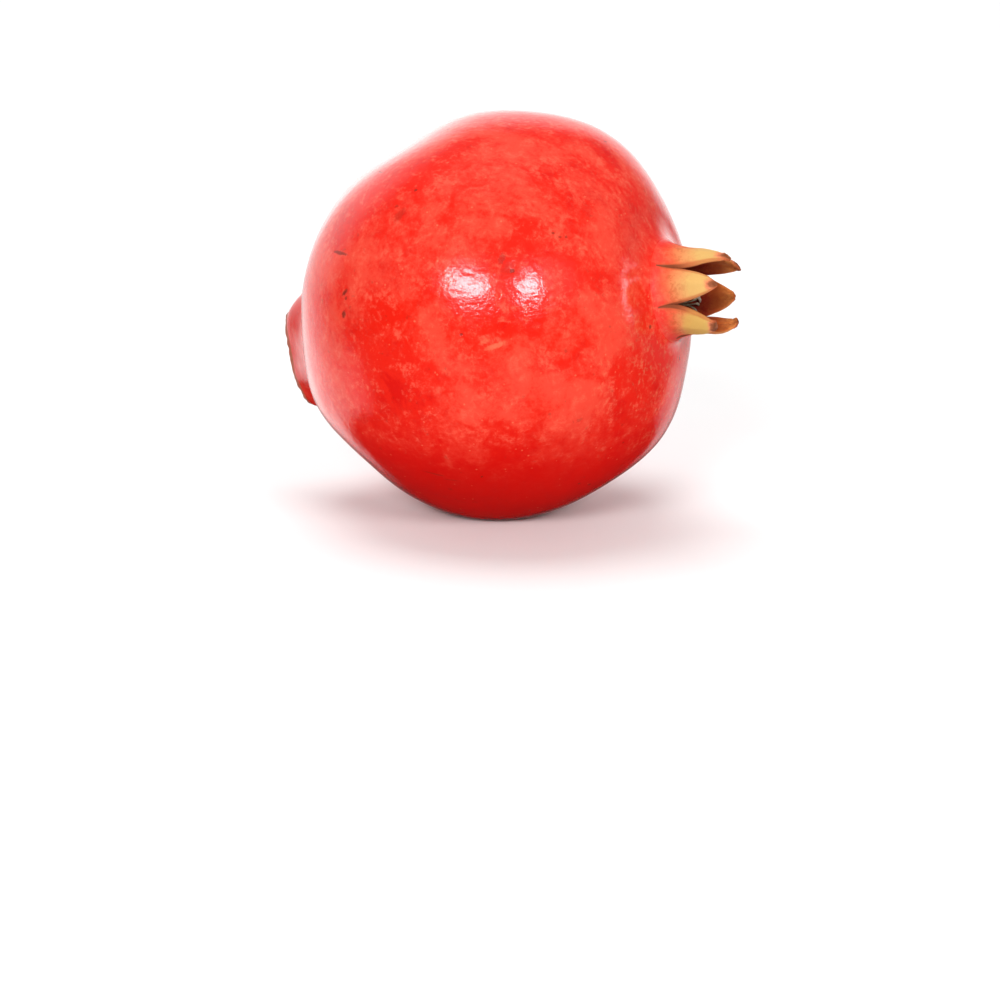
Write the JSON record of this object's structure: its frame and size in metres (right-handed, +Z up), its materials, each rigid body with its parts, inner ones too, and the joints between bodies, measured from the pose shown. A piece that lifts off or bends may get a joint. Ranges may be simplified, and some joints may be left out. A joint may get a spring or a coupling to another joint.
{
  "type": "pomegranate",
  "caption": "Whole round pomegranate lying on its side, with an open lobed calyx crown at one end and a blunt stalk knob with a cut stem at the other.",
  "frame": {"origin": "middle of the small flat spot the fruit rests on", "axes": "+X toward the crown, level with the table; +Z up; -Y is the front of the fruit"},
  "size_m": [0.1091, 0.0922, 0.092],
  "materials": {
    "rind": "smooth waxy leathery rind, soft gloss",
    "dried_stamens": "dry, matt",
    "cut_stem": "dry bark and cut wood, matt"
  },
  "bodies": {
    "root": {"fruit": "rind", "stamens": "dried_stamens", "stem_stub": "cut_stem"}
  },
  "joints": []
}
